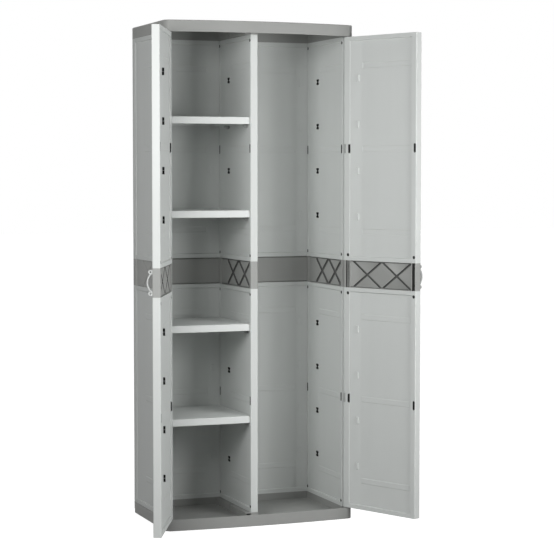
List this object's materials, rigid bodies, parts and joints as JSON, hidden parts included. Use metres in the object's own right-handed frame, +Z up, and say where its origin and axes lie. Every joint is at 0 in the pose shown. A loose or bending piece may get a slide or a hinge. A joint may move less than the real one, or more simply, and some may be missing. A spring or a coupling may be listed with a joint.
{
  "type": "storage cabinet",
  "caption": "Upright moulded plastic cabinet with hinged doors, panelled walls, dark joining bands, a divider, clip-held shelves and bow handles.",
  "frame": {"origin": "on the floor, under the middle of the lid's footprint", "axes": "+Z up, -Y out of the front, +X to the right seen from the front"},
  "size_m": [1.0036, 0.6942, 1.76],
  "materials": {
    "panel_grey": "fine-grained pale grey polypropylene",
    "shelf_grey": "fine-grained pale grey polypropylene",
    "band_grey": "satin dark grey polypropylene",
    "cap_grey": "satin dark grey polypropylene",
    "handle_grey": "satin mid grey plastic",
    "fitting_grey": "smooth grey plastic",
    "screw_steel": "black-coated steel"
  },
  "bodies": {
    "carcass": {"base_tray": "cap_grey", "top_cap": "cap_grey", "bottom_pivots": "fitting_grey", "top_pivots": "fitting_grey", "left_wall_lower": "panel_grey", "left_wall_band": "band_grey", "left_wall_upper": "panel_grey", "right_wall_lower": "panel_grey", "right_wall_band": "band_grey", "right_wall_upper": "panel_grey", "divider_lower": "panel_grey", "divider_band": "band_grey", "divider_upper": "panel_grey", "back_left_lower": "panel_grey", "back_left_band": "band_grey", "back_left_upper": "panel_grey", "back_right_lower": "panel_grey", "back_right_band": "band_grey", "back_right_upper": "panel_grey", "shelf_1": "shelf_grey", "shelf_2": "shelf_grey", "shelf_3": "shelf_grey", "shelf_4": "shelf_grey", "shelf_clips": "fitting_grey", "left_hinge_clips": "fitting_grey", "right_hinge_clips": "fitting_grey", "left_wall_screws": "screw_steel", "right_wall_screws": "screw_steel", "divider_screws": "screw_steel", "back_screws": "screw_steel"},
    "left_door": {"left_door_lower": "panel_grey", "left_door_band": "band_grey", "left_door_upper": "panel_grey", "left_door_screws": "screw_steel", "left_handle": "handle_grey", "left_handle_screws": "screw_steel"},
    "right_door": {"right_door_lower": "panel_grey", "right_door_band": "band_grey", "right_door_upper": "panel_grey", "right_door_screws": "screw_steel", "right_handle": "handle_grey", "right_handle_screws": "screw_steel"}
  },
  "joints": [
    {"name": "left_door_hinge", "type": "hinge", "parent": "carcass", "child": "left_door", "pos_m": [-0.3345, -0.1655, 0.88], "axis": [0, 0, -1], "range_deg": [-114, 66]},
    {"name": "right_door_hinge", "type": "hinge", "parent": "carcass", "child": "right_door", "pos_m": [0.3345, -0.1655, 0.88], "axis": [0, 0, 1], "range_deg": [-114, 66]}
  ]
}
